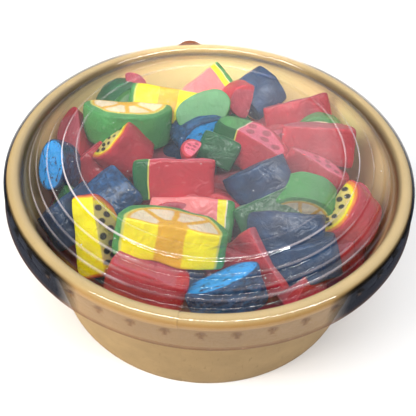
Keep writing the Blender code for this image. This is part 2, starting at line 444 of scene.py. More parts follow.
def offset(line, by):
    """The line moved sideways by a distance."""
    moved = []
    for before, here, after in zip(line[:1] + line[:-1], line, line[1:] + line[-1:]):
        step = (after - before).normalized()
        moved.append(Vector((here.x + step.y * by, here.y - step.x * by)))
    return moved


def with_skirt_rows(line):
    """Extra rows down the skirt, so that the lugs have points to bend."""
    made = []
    for before, here in zip(line, line[1:]):
        made.append(before)
        long_drop = before.x > SKIRT_R - 1.0 and before.y - here.y > 2.0
        count = 12 if long_drop else 1
        made += [before.lerp(here, step / count) for step in range(1, count)]
    return made + [line[-1]]


def press_lugs(r, z, tag, azimuth):
    """Pushes the skirt in at each lug, widest at the top and narrow below."""
    if tag == "skirt" and LUG_LOW_Z < z < LUG_TOP_Z:
        drop = (LUG_TOP_Z - z) / (LUG_TOP_Z - LUG_LOW_Z)
        pitch = math.tau / LUGS
        aside = abs((azimuth + pitch / 2) % pitch - pitch / 2) * r
        wide = LUG_HALF_W * (1.0 - 0.75 * drop)
        across = max(0.0, 1.0 - (aside / wide) ** 2) if wide > 0 else 0.0
        rise = min(1.0, (LUG_TOP_Z - z) / 0.6) * min(1.0, (z - LUG_LOW_Z) / 0.8)
        r -= LUG_DEPTH * across ** 0.5 * rise * (1.0 - 0.45 * drop)
    return r, z


top_line = with_skirt_rows(eased(lid_line(), 0.5))
under_line = offset(top_line, LID_SHEET)
under_line[0] = Vector((0.0, PLATEAU_Z - LID_SHEET))
closed = top_line + list(reversed(under_line))
lid_rows = [(p.x, p.y, "skirt" if p.x > SKIRT_R - 1.2 and p.y < ROLL_Z else "top") for p in closed]
lid_rows = [(max(r, 0.0), z, tag) for r, z, tag in lid_rows]
LID_STEPS = LUGS * 10
lid = turned("clear_lid", lid_rows, [math.tau * step / LID_STEPS for step in range(LID_STEPS)], press_lugs)
print("lid faces:", len(lid.data.polygons), "top at:", round(max(z for _, z, _ in lid_rows), 2), "mm")

# %% [markdown]
# ## The pull tab
#
# A thumb lifts the lid by a small ear at the skirt's edge: a flat half-round leaf, so
# its outline is one half circle, given a thickness and joined to the lid's mesh.

# %% Pull tab
TAB_AZIMUTH, TAB_W, TAB_RISE, TAB_REACH, TAB_T = math.radians(99.6), 17.0, 9.0, 2.9, 0.8
TAB_SIDES = 24


def tab_mesh():
    away = Vector((math.cos(TAB_AZIMUTH), math.sin(TAB_AZIMUTH), 0.0))
    along = Vector((-away.y, away.x, 0.0))
    rise = away * TAB_REACH + Vector((0.0, 0.0, TAB_RISE))
    root = away * (SKIRT_EDGE_R - 0.55) + Vector((0.0, 0.0, SKIRT_EDGE_Z + 0.2))
    thick = rise.cross(along).normalized() * TAB_T
    rings = []
    for push, inset in ((-0.5, 0.94), (-0.2, 1.0), (0.2, 1.0), (0.5, 0.94)):
        ring = []
        for step in range(TAB_SIDES + 1):
            bend = math.pi * step / TAB_SIDES
            spot = root + along * (math.cos(bend) * TAB_W / 2 * inset) + rise * (math.sin(bend) * inset)
            ring.append(spot + thick * push)
        rings.append(ring)
    points = [p * MM for ring in rings for p in ring]
    count = TAB_SIDES + 1
    faces = [list(range(count - 1, -1, -1)), list(range(3 * count, 4 * count))]
    for ring in range(3):
        faces += band(ring * count, (ring + 1) * count, count)
    mesh = bpy.data.meshes.new("tab")
    mesh.from_pydata(points, [], faces)
    return mesh


def pressed_in(point):
    """1 where a lug has pushed the skirt in, else 0."""
    r, z = point.to_2d().length / MM, point.z / MM
    level = SKIRT_EDGE_Z + FLARE_H - 0.4 < z < LUG_TOP_Z
    return 1.0 if level and SKIRT_R - r > 0.6 else 0.0


tab = placed("tab", tab_mesh())
# The whole tab is marked for a painted dark tint, a painted shade.
remember(tab.data, "edge_painted_shade", [1.0] * len(tab.data.vertices))
# This mask of the pressed lugs carries a painted shade in the lid's material.
remember(lid.data, "pressed", [pressed_in(v.co) for v in lid.data.vertices])
lower_edge = (SKIRT_EDGE_Z + 0.5) * MM
# A painted dark line, a painted shade, along the skirt's lower edge.
remember(lid.data, "edge_painted_shade", [0.4 if v.co.z < lower_edge else 0.0 for v in lid.data.vertices])
for piece in bpy.context.selected_objects:
    piece.select_set(False)
lid.select_set(True)
tab.select_set(True)
bpy.context.view_layer.objects.active = lid
bpy.ops.object.join()
print("lid with tab, across in mm:", [round(side / MM, 1) for side in lid.dimensions])

# %% [markdown]
# ## Clear sheet
#
# A sheet half a millimetre thick hardly bends what is seen through it, so a
# transparent surface with a mirror on top, shared out by the viewing angle, looks
# right and lets the studio light reach the candy. Seen along the sheet it darkens,
# as clear plastic does at its edges. The groove and the sides of the skirt are bent
# so much that they would mirror the dark room; that is a painted reflection, a dark
# tint set by place and by the viewing angle, most of all towards the front. The skirt
# carries a faint painted shade, each pressed lug a painted shade of its own, and the
# skirt's lower edge and the tab a painted dark line.
#
# Two whitish veils of painted light lie over that. A faint painted haze on the flat
# middle, stronger towards the right, softens what lies under it. And each ring's
# rounded edge carries a painted highlight, a thin line of light broken here and
# there by a noise.

# %% Lid material
# Painted highlights: the radius and strength of the thin line of light on each ring's edge.
PAINTED_RING_HIGHLIGHTS = (
    (RIDGE_IN_R, 0.22), (RIDGE_OUT_R + 0.2, 0.42), (SHOULDER_R + 0.2, 0.20),
    (STEP_R + 0.2, 0.16), (FALL_R, 0.26),
)
HIGHLIGHT_HALF_W, HIGHLIGHT_SOFT = 0.22 * MM, 0.14 * MM
GROOVE_IN, GROOVE_OUT, SKIRT_FROM, PAINTED_HAZE_TO = 65.5 * MM, 70.0 * MM, 74.5 * MM, 47.0 * MM
SIDE_FROM, BACK_FROM, SHADE_AT_BACK = 42.0 * MM, 8.0 * MM, 0.45
FLAT_ON, AT_AN_ANGLE = tone(250, 250, 249), tone(244, 243, 240)
# Painted reflection: tints for the groove, darker at its sides, standing in for the dark room mirrored
# there.
GROOVE_PAINTED_REFLECTION, SIDES_PAINTED_REFLECTION = tone(236, 235, 236), tone(222, 222, 226)
# Painted shade over the skirt, and the painted reflection of the dark room for its sides.
SKIRT_PAINTED_SHADE, DARK_ROOM_PAINTED_REFLECTION = tone(246, 239, 230), tone(114, 119, 131)
# Painted shade in the lugs and along the skirt's lower edge and the tab, and the colour of the painted haze.
LUG_PAINTED_SHADE, EDGE_PAINTED_SHADE, PAINTED_VEIL = tone(206, 178, 150), tone(196, 156, 134), tone(236, 226, 230)

clear, tree, shader = new_material("clear_sheet")
facing = put(tree, "LayerWeight", {"Blend": 0.5}).outputs["Facing"]
spot = put(tree, "NewGeometry").outputs["Position"]
x, y, _ = put(tree, "SeparateXYZ", {0: spot}).outputs
squares = [calc(tree, "POWER", value, 2.0) for value in (x, y)]
from_axis = calc(tree, "SQRT", calc(tree, "ADD", *squares))
past_groove = edge(tree, from_axis, GROOVE_OUT, 0.8 * MM)
groove = calc(tree, "SUBTRACT", edge(tree, from_axis, GROOVE_IN, 1.5 * MM), past_groove)
aside = edge(tree, calc(tree, "ABSOLUTE", x), SIDE_FROM, 4.0 * MM)
on_skirt = edge(tree, from_axis, SKIRT_FROM, 0.5 * MM)
in_front = opposite(tree, product(tree, edge(tree, y, BACK_FROM, 28.0 * MM), 1.0 - SHADE_AT_BACK))
# Painted reflection: a dark tint on the skirt's sides, set by place and by the viewing angle, darkest
# towards the front.
painted_reflection_share = product(tree, on_skirt, edge(tree, facing, 0.20, 0.08), aside, in_front)

passed = mixed(tree, calc(tree, "POWER", ranged(tree, facing, 0.5, 0.95), 1.5), FLAT_ON, AT_AN_ANGLE)
for share, colour in (
    # Painted reflection of the dark room in the groove, darker at the sides.
    (groove, GROOVE_PAINTED_REFLECTION), (product(tree, groove, aside), SIDES_PAINTED_REFLECTION),
    # Painted shade over the whole skirt, then the painted dark reflection on its sides.
    (on_skirt, SKIRT_PAINTED_SHADE), (painted_reflection_share, DARK_ROOM_PAINTED_REFLECTION),
    # Painted shade in the pressed lugs, and a painted dark line on the lower edge and the tab.
    (product(tree, stored(tree, "pressed"), 0.6), LUG_PAINTED_SHADE), (stored(tree, "edge_painted_shade"), EDGE_PAINTED_SHADE),
):
    passed = mixed(tree, share, passed, colour)
window = put(tree, "BsdfTransparent", {"Color": passed})
fill(tree, shader, {"Base Color": (1.0, 1.0, 1.0, 1.0), "Metallic": 1.0, "Roughness": 0.04})
gloss = calc(tree, "ADD", 0.038, product(tree, calc(tree, "POWER", facing, 5.0), 0.14))
# The mirror is turned down where the painted dark reflection lies.
gloss = product(tree, gloss, opposite(tree, product(tree, painted_reflection_share, 0.8)))
sheet = put(tree, "MixShader", {0: gloss, 1: window.outputs[0], 2: shader.outputs[0]})

# Painted haze on the flat middle, stronger towards the right, and painted highlight lines on the rings.
haze_noise = noisy(tree, spot, 38.0, 3.0)
broken = ranged(tree, haze_noise, 0.42, 0.6, 0.25)
on_plateau = opposite(tree, edge(tree, from_axis, PAINTED_HAZE_TO, 4.0 * MM))
painted_haze_and_highlights = product(tree, on_plateau, ranged(tree, x, 0.0, 50.0 * MM), haze_noise, 0.10)
for ring_r, strength in PAINTED_RING_HIGHLIGHTS:
    beside = calc(tree, "ABSOLUTE", calc(tree, "SUBTRACT", from_axis, ring_r * MM))
    away = edge(tree, beside, HIGHLIGHT_HALF_W, HIGHLIGHT_SOFT)
    line = calc(tree, "SUBTRACT", strength, product(tree, away, strength))
    painted_haze_and_highlights = calc(tree, "MAXIMUM", painted_haze_and_highlights, product(tree, line, broken))
# The painted haze and highlights are a whitish diffuse layer over the sheet.
painted_veil_shader = put(tree, "BsdfDiffuse", {"Color": PAINTED_VEIL})
whole = put(tree, "MixShader", {0: painted_haze_and_highlights, 1: sheet.outputs[0], 2: painted_veil_shader.outputs[0]})
fill(tree, tree.nodes["Material Output"], {"Surface": whole.outputs[0]})
lid.data.materials.clear()
lid.data.materials.append(clear)
print("lid material nodes:", len(tree.nodes))

# %% [markdown]
# ## How the candy is made
#
# Each sweet is a length cut from a soft moulded bar, half-moon or oval in section,
# whose picture of a fruit slice runs all the way through. So each sweet is a lofted
# section with eased ends, pushed about a little by noise, and every point remembers
# its place in the section. The material reads that place, so rind, flesh and seeds
# meet at the edges as they do in a real cut bar.
# The vector noise starts somewhere else in each run unless it is given a seed.

# %% Helpers for cut candy
ROUND_POINTS = 44
CUT_EASE = 1.2
CLEARANCE = 0.35
NOISE_SEED = 7
noise.seed_set(NOISE_SEED)
LEAN, BIG_LUMP, SMALL_LUMP = 1.8, 0.9, 0.34
ceiling_rows = sorted((p.x, p.y) for p in under_line if p.x < GROOVE_R)


def ceiling(r):
    """Height of the lid's underside at a radius."""
    for (r0, z0), (r1, z1) in zip(ceiling_rows, ceiling_rows[1:]):
        if r <= r1:
            return z0 + (z1 - z0) * max(0.0, r - r0) / max(r1 - r0, 1e-6)
    return GROOVE_Z


def keep_inside(p):
    """Pulls a point in mm back inside the bowl and under the lid."""
    r = p.to_2d().length
    limit = inner_wall(min(max(p.z, FLOOR_TOP), WALL_TOP_Z)) - CLEARANCE
    limit = min(limit, GROOVE_R - 1.0)
    if r > limit:
        p.x, p.y, r = p.x * limit / r, p.y * limit / r, limit
    p.z = min(p.z, ceiling(r) - CLEARANCE)
    return p


def half_moon(wide, deep):
    """Outline of a section with its flat side on the axis."""
    arc = [math.pi * step / 60 for step in range(61)]
    flat = [wide * (step / 40 - 0.5) for step in range(1, 40)]
    return [(wide / 2 * math.cos(a), deep * math.sin(a)) for a in arc] + [(u, 0.0) for u in flat]


def oval(wide, deep):
    turns = [math.tau * step / 90 for step in range(90)]
    return [(wide / 2 * math.cos(a), deep / 2 * math.sin(a)) for a in turns]


def softened(outline):
    """Evenly spaced points round the outline, with its corners softened."""
    loop = outline + outline[:1]
    steps = [math.dist(a, b) for a, b in zip(loop, loop[1:])]
    spacing, made, walked = sum(steps) / ROUND_POINTS, [], 0.0
    for (a, b), length in zip(zip(loop, loop[1:]), steps):
        while len(made) * spacing < walked + length and len(made) < ROUND_POINTS:
            made.append(Vector(a).lerp(Vector(b), (len(made) * spacing - walked) / length))
        walked += length
    for _ in range(3):
        made = [(a + b * 2 + c) / 4 for a, b, c in zip(made[-1:] + made, made, made[1:] + made[:1])]
    return made


def lie(heading, pitch, roll):
    """The directions of a sweet: along its flat side, to its back, along the cut length."""
    h, p, r = (math.radians(v) for v in (heading, pitch, roll))
    along = Vector((math.cos(h) * math.cos(p), math.sin(h) * math.cos(p), math.sin(p)))
    side = Vector((-math.sin(h), math.cos(h), 0.0))
    back = side * math.cos(r) + along.cross(side) * math.sin(r)
    return along, back, along.cross(back)


def ring_plan(length):
    """(place along the cut length, size of the section, 1 on a cut face) from end to end."""
    half = length / 2
    end = [(half, 0.3, 1.0), (half, 0.58, 1.0), (half, 0.82, 1.0), (half - 0.06, 0.94, 1.0)]
    end += [(half - 0.35, 0.985, 0.0), (half - CUT_EASE, 1.0, 0.0)]
    sides = [((half - CUT_EASE) * step / 4, 1.008, 0.0) for step in (3, 2, 1, 0, -1, -2, -3)]
    return end + sides + [(-w, size, cut) for w, size, cut in reversed(end)]


def draw_lot(seed):
    """A fixed number from 0 to 1 for each sweet, so that no two have quite the same colour."""
    return (seed * 0.618034) % 1.0


def cut_sweet(store, section, is_oval, row, seed):
    """Adds one sweet to a store of points, faces and what each point remembers."""
    at, turned_by, (wide, deep, length) = row
    along, back, cut = lie(*turned_by)
    draw = random.Random(seed)
    lean_u, lean_v, bend = draw.uniform(-1, 1), draw.uniform(-1, 1), draw.uniform(-0.5, 0.9)
    outline = softened(section(wide, deep))
    middle = sum(outline, Vector((0.0, 0.0))) / len(outline)
    half_deep = deep / 2 if is_oval else deep
    start, plan = len(store["points"]), ring_plan(length)
    rings = [(plan[0][0], 0.0, 1.0)] + plan + [(plan[-1][0], 0.0, 1.0)]
    for w, size, on_cut in rings:
        for u, v in ([middle] if size == 0.0 else [middle.lerp(p, size) for p in outline]):
            tilt = (lean_u * u / wide + lean_v * v / deep) * LEAN * (w / length)
            p = Vector(at) + along * u + back * (v + bend * (2 * u / wide) ** 2) + cut * (w + tilt)
            away = Vector((seed * 3.1, seed * 1.7, 0.0))
            lumps = noise.noise_vector(p / 12 + away) * BIG_LUMP
            p += lumps + noise.noise_vector(p / 4.5 + away) * SMALL_LUMP
            store["points"].append(keep_inside(p) * MM)
            store["section"] += [2 * u / wide, v / half_deep, 2 * w / length]
            store["on_cut"].append(on_cut)
            store["lot"].append(draw_lot(seed))
    n = ROUND_POINTS
    last = start + 1 + n * len(plan)
    for step in range(n):
        nxt = (step + 1) % n
        store["faces"].append((start, start + 1 + nxt, start + 1 + step))
        for ring in range(len(plan) - 1):
            low = start + 1 + ring * n
            store["faces"].append((low + step, low + nxt, low + n + nxt, low + n + step))
        store["faces"].append((last, last - n + step, last - n + nxt))


def heap_piece(name, store):
    mesh = meshed(name, store["points"], store["faces"])
    remember(mesh, "section", store["section"], "FLOAT_VECTOR")
    for label in ("on_cut", "lot"):
        remember(mesh, label, store[label])
    return placed(name, mesh)


print("underside of the lid at 60 mm out:", round(ceiling(60.0), 2), "mm up")

# %% [markdown]
# ## Where each sweet lies
#
# The sweets that show lie as in the photo: each row is the middle of the flat side (of
# the section, for an oval), the way it is turned, and its width, depth and cut length.
# The solids use the same rows. Below them the real bowl is full, so a second layer is
# laid by a seeded draw on a spiral.

# %% The heap's plan
SHOWN = {
    "citrus": [
        ((-12, -43, 56), (-5, -5, -30), (40, 19, 14)),
        ((-20, 34, 55), (-8, -5, -50), (35, 15, 15)),
        ((-36, 28, 51), (-175, 5, 15), (37, 17, 16)),
        ((36, -13, 46), (-10, 10, 95), (26, 14, 14)),
    ],
    "papaya": [
        ((-37, 13, 48), (-135, -26, 30), (23, 15, 15)),
        ((-41, -38, 52), (-75, -40, -57), (30, 16, 10)),
        ((50, -17, 47), (-125, -32, 40), (26, 13, 14)),
    ],
    "watermelon": [
        ((46, 31, 44), (-12, 0, 70), (22, 11, 12)),
    ],
    "slab": [
        ((-6, -25, 50), (-2, 0, -50), (32, 14, 15)),
        ((-3, 52, 53), (48, 12, -50), (25, 9, 12)),
    ],
    "strawberry": [
        ((-13, -13, 57), (4, 0, -38), (31, 16, 15)),
        ((13, 11, 51), (-32, -8, -15), (34, 16, 15)),
    ],
    "berry": [
        ((38, -4, 53), (-30, -12, -25), (25, 13, 14)),
        ((-6, 7, 52), (60, 20, 20), (9, 7, 9)),
    ],
    "melon": [
        ((-39, 42, 44), (45, 30, 80), (26, 14, 13)),
        ((23, -22, 52), (25, 8, -55), (26, 15, 13)),
        ((2, 12, 51), (-25, -5, -50), (17, 12, 12)),
    ],
    "apple": [
        ((-52, 19, 48), (103, 20, -25), (25, 11, 13)),
        ((-37, 45, 51), (-65, -20, 10), (17, 8, 10)),
        ((14, 44, 53), (80, 60, 35), (15, 11, 11)),
        ((37, 35, 53), (20, 6, -38), (31, 13, 13)),
        ((42, 13, 55), (-10, 5, -30), (30, 17, 15)),
        ((52, -13, 44), (-125, -35, 15), (25, 12, 13)),
        ((-20, -54, 45), (-14, -12, -15), (28, 16, 15)),
        ((17, -42, 46), (-50, -25, -25), (25, 13, 13)),
    ],
    "blueberry": [
        ((-58, -2, 50), (90, 40, -10), (21, 11, 16)),
        ((-36, -16, 50), (135, 10, 70), (20, 13, 16)),
        ((-5, 25, 49), (25, 10, 75), (25, 15, 15)),
        ((8, -52, 43), (22, 12, -25), (28, 12, 14)),
    ],
    "bilberry": [
        ((-49, -24, 47), (-115, 10, 45), (27, 15, 15)),
        ((20, 53, 50), (-40, -30, 110), (21, 13, 17)),
        ((19, -7, 52), (15, 26, -45), (26, 15, 14)),
        ((28, -30, 51), (-5, 5, -50), (28, 14, 14)),
        ((34, -39, 46), (12, 12, -45), (28, 15, 15)),
    ],
    "lime_oval": [
        ((-4, 31, 54), (20, 15, 40), (25, 16, 11)),
    ],
}
OVAL_KINDS = ("blueberry", "bilberry", "lime_oval")
DEEP_KINDS = ("apple", "bilberry", "berry", "apple", "melon", "apple", "bilberry")
DEEP_COUNT = 32
GOLDEN_TURN = 2.39996
DEEP_IN_R, DEEP_OUT_R, DEEP_Z, DEEP_FALL = 6.0, 54.0, 38.5, 4.0


def deep_row(index, draw):
    """One sweet of the layer below, on a spiral that fills the bowl evenly."""
    r = DEEP_IN_R + (DEEP_OUT_R - DEEP_IN_R) * math.sqrt(index / DEEP_COUNT)
    azimuth = index * GOLDEN_TURN
    z = DEEP_Z - DEEP_FALL * r / DEEP_OUT_R + draw.uniform(-1.5, 1.5)
    at = (r * math.cos(azimuth), r * math.sin(azimuth), z)
    turned_by = (draw.uniform(0, 360), draw.uniform(-20, 20), draw.uniform(-60, 60))
    return at, turned_by, (draw.uniform(25, 30), draw.uniform(13, 16), draw.uniform(13, 15))


plan = {kind: list(rows) for kind, rows in SHOWN.items()}
deep_draw = random.Random(11)
for index in range(DEEP_COUNT):
    plan[DEEP_KINDS[index % len(DEEP_KINDS)]].append(deep_row(index, deep_draw))

heap = {}
for number, (kind, rows) in enumerate(plan.items()):
    store = {key: [] for key in ("points", "faces", "section", "on_cut", "lot")}
    section = oval if kind in OVAL_KINDS else half_moon
    for index, row in enumerate(rows):
        cut_sweet(store, section, kind in OVAL_KINDS, row, number * 17 + index + 1)
    heap[kind] = heap_piece("candy_" + kind, store)
print("sweets:", {kind: len(rows) for kind, rows in plan.items()})

# %% [markdown]
# ## The core under them
#
# What lies deeper still can't be seen, so one lumpy mound fills the bowl to a little
# below the second layer's tops. Chinks between the sweets then show candy.

# %% The core
CORE_MID_Z, CORE_EDGE_Z, CORE_R, CORE_RINGS = 33.0, 29.0, 60.0, 12


def core_swell(r, z, tag, azimuth):
    lump = noise.noise(Vector((r * math.cos(azimuth), r * math.sin(azimuth), 0.0)) / 9.0)
    return r, z + (2.5 * lump if tag == "top" else 0.0)


low_z = FLOOR_TOP + CLEARANCE
core_shares = [step / CORE_RINGS for step in range(CORE_RINGS + 1)]
core_fall = CORE_MID_Z - CORE_EDGE_Z
core_rows = [(CORE_R * share, CORE_MID_Z - core_fall * share ** 2, "top") for share in core_shares]
core_rows += [(inner_wall(CORE_EDGE_Z) - CLEARANCE, CORE_EDGE_Z - 1.5, "side")]
core_rows += [(inner_wall(low_z) - CLEARANCE, low_z, "side"), (0.0, low_z, "side")]
core = turned("candy_core", core_rows, [math.tau * step / 72 for step in range(72)], core_swell)
print("core faces:", len(core.data.polygons))

# %% [markdown]
# ## Reading the section
#
# All the candy materials start from the same few facts: how far across and how deep
# in the section a point lies, how far from the middle of the flat side, and at what
# angle. One group works them out, with a little wander so that no border is drawn
# with a ruler. A second group gives what handling does to soft candy: slight
# mottling, creases, small pits and, on the cuts, the drag of the knife.

# %% Candy groups
sliced, taken, results = new_group(
    "bar_section",
    [("Section", "Vector", None), ("Place", "Vector", None), ("Wander", "Float", 0.05)],
    [("Across", "Float"), ("Deep", "Float"), ("From Middle", "Float"), ("Angle", "Float")],
)
wander = {"Vector": taken["Place"], "Scale": 170.0, "Detail": 1.5}
shake = put(sliced, "TexNoise", wander).outputs["Color"]
shake = put(sliced, "VectorMath", {0: shake, 1: (0.5, 0.5, 0.5)}, operation="SUBTRACT").outputs[0]
shake = put(sliced, "VectorMath", {0: shake, "Scale": taken["Wander"]}, operation="SCALE").outputs[0]
moved = put(sliced, "VectorMath", {0: taken["Section"], 1: shake}, operation="ADD").outputs[0]
parts = put(sliced, "SeparateXYZ", {0: moved}).outputs
squares = [calc(sliced, "MULTIPLY", parts[axis], parts[axis]) for axis in (0, 1)]
angle = calc(sliced, "ARCTAN2", parts[1], parts[0])
fill(sliced, results, {
    "Across": calc(sliced, "ABSOLUTE", parts[0]),
    "Deep": parts[1],
    "From Middle": calc(sliced, "SQRT", calc(sliced, "ADD", *squares)),
    "Angle": calc(sliced, "DIVIDE", angle, math.pi),
})

handled, taken, results = new_group(
    "soft_candy_wear",
    [("Place", "Vector", None), ("Lot", "Float", 0.5), ("On Cut", "Float", 0.0)],
    [("Tone", "Float"), ("Height", "Float"), ("Dust", "Float")],
)
cloud = noisy(handled, taken["Place"], 130.0, 4.0)
slanted = {"Vector": taken["Place"], "Rotation": (0.4, 0.3, 0.9), "Scale": (1.0, 0.16, 0.5)}
drag = noisy(handled, put(handled, "Mapping", slanted).outputs[0], 900.0, 3.0)
creases = noisy(handled, taken["Place"], 190.0, 2.0, Distortion=1.2)
pits = noisy(handled, taken["Place"], 420.0, 3.0)
mottled = ranged(handled, cloud, 0.3, 0.7, 0.86, 1.1)
by_lot = ranged(handled, taken["Lot"], 0.0, 1.0, 0.93, 1.06)
drag_depth = calc(handled, "ADD", 0.12, product(handled, taken["On Cut"], 0.6))
creased = calc(handled, "ADD", product(handled, creases, 1.3), product(handled, pits, 0.15))
pitted = calc(handled, "ADD", pits, product(handled, taken["On Cut"], 0.05))
fill(handled, results, {
    "Tone": product(handled, mottled, by_lot),
    "Height": calc(handled, "ADD", product(handled, drag, drag_depth), creased),
    "Dust": edge(handled, pitted, 0.70, 0.05),
})
print("candy groups:", [g.name for g in (sliced, handled)])

# %% [markdown]
# ## One material for each fruit
#
# Each fruit is two pictures: what the cut faces show, and what shows on the skin,
# where the flat side carries the ends of the section as stripes. A material mixes
# them by whether a point is on a cut face. Each fruit's function gets s, the facts
# about a point's place, and gives back the two pictures. Gelatine and sugar let some
# light in, so a little subsurface scattering keeps the colours warm and soft.

# %% Candy materials
GREEN, LIGHT_GREEN, DARK_GREEN = tone(74, 150, 80), tone(98, 156, 108), tone(34, 100, 56)
MOSS, LIME, PALE = tone(38, 98, 60), tone(214, 214, 110), tone(138, 178, 144)
YELLOW, GOLD, ORANGE = tone(254, 238, 12), tone(236, 182, 40), tone(238, 140, 44)
CREAM, STRAW, SEED = tone(240, 226, 196), tone(226, 206, 120), tone(44, 40, 24)
PINK, ROSE, DUSTY = tone(244, 136, 140), tone(236, 112, 138), tone(180, 76, 92)
RED, CORAL = tone(184, 34, 50), tone(192, 54, 68)
BLUE, STEEL, SLATE, NAVY = tone(38, 160, 238), tone(46, 98, 152), tone(26, 52, 88), tone(16, 34, 72)
SUGAR = tone(250, 240, 236)


def spots(tree, section, centres, size, stretch):
    """1 inside small oval marks in the section, 0 elsewhere."""
    nearest = None
    for across, deep in centres:
        moved = {0: section, 1: (across, deep, 0.0)}
        moved = put(tree, "VectorMath", moved, operation="SUBTRACT").outputs[0]
        flat = {0: moved, 1: (1.0, stretch, 0.0)}
        flat = put(tree, "VectorMath", flat, operation="MULTIPLY").outputs[0]
        far = put(tree, "VectorMath", {0: flat}, operation="LENGTH").outputs["Value"]
        nearest = far if nearest is None else calc(tree, "MINIMUM", nearest, far)
    return opposite(tree, edge(tree, nearest, size, size * 0.18))


def sideways_in(tree, s):
    """The place across the section, from -1 to 1."""
    return put(tree, "SeparateXYZ", {0: s["Section"]}).outputs[0]


def rim(tree, s, start, inner, outer, soft=0.012):
    """The inner colour, and the outer one from a distance to the section's middle."""
    return mixed(tree, edge(tree, s["From Middle"], start, soft), inner, outer)


def backed(tree, s, start, flat_side, back, soft=0.012):
    """The flat side's colour, and the rounded back's."""
    return mixed(tree, edge(tree, s["Deep"], start, soft), flat_side, back)


def citrus(tree, s):
    part = calc(tree, "MULTIPLY", s["Angle"], 4.0)
    off = calc(tree, "ABSOLUTE", calc(tree, "SUBTRACT", part, calc(tree, "ROUND", part)))
    gap = product(tree, off, math.pi / 4, s["From Middle"])
    wedge = product(tree, edge(tree, gap, 0.05, 0.02), edge(tree, s["From Middle"], 0.27, 0.03))
    cut = rim(tree, s, 0.76, mixed(tree, wedge, GOLD, CREAM), GOLD, 0.02)
    cut = rim(tree, s, 0.85, rim(tree, s, 0.81, cut, LIME, 0.02), GREEN)
    skin = bands(tree, s["Across"], [(0, GOLD), (0.24, YELLOW), (0.80, LIME), (0.84, GREEN)])
    return cut, backed(tree, s, 0.10, skin, GREEN, 0.03)


def papaya(tree, s):
    rings = [(0, STRAW), (0.72, YELLOW), (0.82, ORANGE), (0.92, RED)]
    seeds = [(-0.62, 0.16), (-0.3, 0.2), (0.02, 0.17), (0.36, 0.2), (0.64, 0.15)]
    seeds += [(-0.45, 0.42), (-0.12, 0.46), (0.2, 0.43), (0.48, 0.4)]
    cut = bands(tree, s["From Middle"], rings, 0.03)
    cut = mixed(tree, spots(tree, s["Section"], seeds, 0.075, 0.62), cut, SEED)
    skin = bands(tree, s["Across"], [(0, YELLOW), (0.90, ORANGE), (0.95, RED)], 0.02)
    return cut, backed(tree, s, 0.09, skin, CORAL, 0.06)


def watermelon(tree, s):
    rings = [(0, PINK), (0.70, YELLOW), (0.81, CREAM), (0.85, GREEN)]
    skin = bands(tree, s["Across"], rings)
    return bands(tree, s["From Middle"], rings), backed(tree, s, 0.10, skin, GREEN, 0.03)


def slab(tree, s):
    """A bar whose rind lies at one end only."""
    stripes = [(0, PINK), (0.56, YELLOW), (0.76, CREAM), (0.79, GREEN)]
    ends = bands(tree, sideways_in(tree, s), stripes, 0.008)
    return rim(tree, s, 0.88, ends, GREEN), backed(tree, s, 0.10, ends, GREEN)


def seed_marks(tree, s, shell_from):
    marks = [(-0.22, 0.60), (0.16, 0.66), (-0.1, 0.28), (0.26, 0.34), (0.58, 0.28)]
    flesh = rim(tree, s, shell_from, ROSE, CORAL, 0.02)
    return mixed(tree, spots(tree, s["Section"], marks, 0.10, 0.7), flesh, DUSTY)


def strawberry(tree, s):
    """Each one's green cap reaches to a place of its own, given by its lot."""
    border = calc(tree, "SUBTRACT", product(tree, s["Lot"], -0.65), 0.20)
    past = calc(tree, "SUBTRACT", sideways_in(tree, s), border)
    line, cap = opposite(tree, edge(tree, past, 0.03)), opposite(tree, edge(tree, past, 0.0))
    cut = mixed(tree, cap, mixed(tree, line, seed_marks(tree, s, 0.86), CREAM), GREEN)
    return cut, mixed(tree, cap, mixed(tree, line, CORAL, LIME), DARK_GREEN)


def berry(tree, s):
    return seed_marks(tree, s, 0.84), CORAL


def melon(tree, s):
    return rim(tree, s, 0.84, PALE, GREEN, 0.02), MOSS


def apple(tree, s):
    band = edge(tree, sideways_in(tree, s), 0.66, 0.02)
    return mixed(tree, band, DUSTY, RED), mixed(tree, band, CORAL, RED)


def blueberry(tree, s):
    flecks = noisy(tree, s["Section"], 3.6, 5.0, Roughness=0.7, Distortion=0.8)
    flesh = mixed(tree, edge(tree, flecks, 0.58, 0.03), BLUE, NAVY)
    return rim(tree, s, 0.90, flesh, NAVY, 0.03), mixed(tree, edge(tree, flecks, 0.52, 0.10), SLATE, STEEL)


def bilberry(tree, s):
    flecks = noisy(tree, s["Section"], 1.6, 4.0)
    flesh = mixed(tree, edge(tree, flecks, 0.52, 0.12), SLATE, STEEL)
    return rim(tree, s, 0.86, flesh, SLATE, 0.05), mixed(tree, 0.35, SLATE, flesh)


def lime_oval(tree, s):
    return rim(tree, s, 0.94, LIGHT_GREEN, GREEN, 0.03), GREEN


